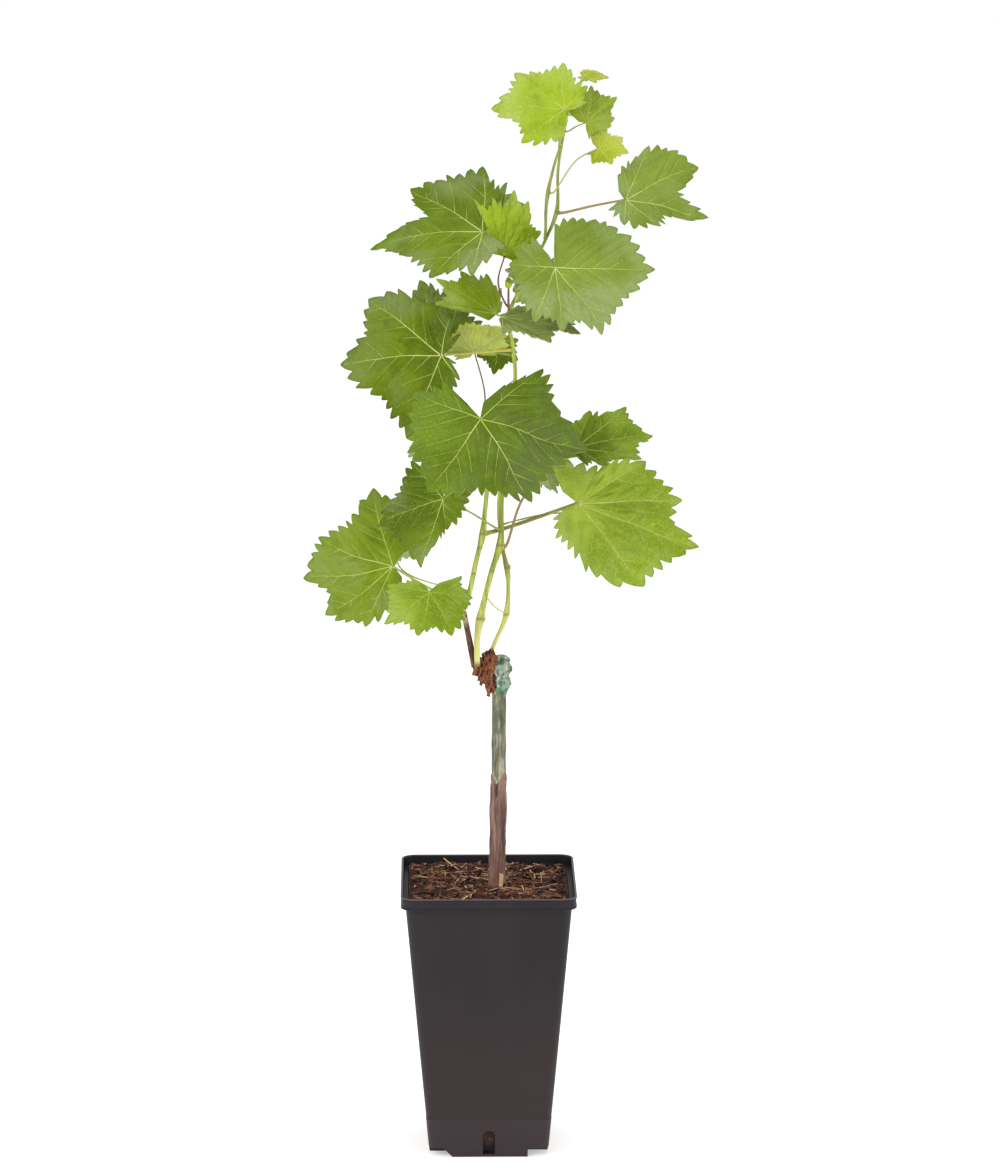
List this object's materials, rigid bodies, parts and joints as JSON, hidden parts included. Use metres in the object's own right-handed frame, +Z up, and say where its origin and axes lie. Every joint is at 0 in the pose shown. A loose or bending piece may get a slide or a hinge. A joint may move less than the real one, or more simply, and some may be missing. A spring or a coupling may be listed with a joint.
{
  "type": "potted grapevine",
  "caption": "Young grafted grapevine with large toothed lobed leaves on long stalks, rooted in bark mix in a tall square black nursery pot.",
  "frame": {"origin": "centre of the pot's flat underside", "axes": "+Z up along the stem, -Y towards the side that the plant faces, +X to its right seen from the front"},
  "size_m": [0.2958, 0.1719, 0.8122],
  "materials": {
    "pot_plastic": "semi-matte moulded plastic",
    "bark_mix": "loose composted bark chips and fibre",
    "old_bark": "striated bark, waxed at the graft",
    "green_stem": "smooth young green wood",
    "leaf": "soft satin leaf",
    "young_leaf": "soft satin young leaf"
  },
  "bodies": {
    "root": {"nursery_pot": "pot_plastic", "potting_mix": "bark_mix", "trunk": "old_bark", "old_wood_head": "old_bark", "dead_spur": "old_bark", "shoot_main": "green_stem", "shoot_left": "green_stem", "shoot_thin": "green_stem", "shoot_lateral": "green_stem", "tendril": "green_stem", "side_bud": "green_stem", "leaf_low_front": "leaf", "leaf_low_left": "leaf", "leaf_left_inner": "leaf", "leaf_right": "leaf", "leaf_right_folded": "leaf", "leaf_centre": "leaf", "leaf_left": "leaf", "leaf_mid_under": "young_leaf", "leaf_mid_level": "leaf", "leaf_mid_upright": "leaf", "leaf_mid_hanging": "leaf", "leaf_high_centre": "leaf", "leaf_high_left": "leaf", "leaf_high_bright": "young_leaf", "leaf_high_right": "leaf", "leaf_top_young": "young_leaf", "leaf_top_left": "young_leaf", "leaf_top_right": "young_leaf", "leaf_tip": "young_leaf", "leaf_rear_low_left": "leaf", "leaf_rear_low_right": "leaf", "leaf_rear_low": "leaf", "leaf_rear_centre": "leaf", "leaf_rear_left": "leaf", "leaf_rear_right": "leaf", "leaf_rear_high_left": "leaf", "leaf_rear_top": "young_leaf"}
  },
  "joints": []
}
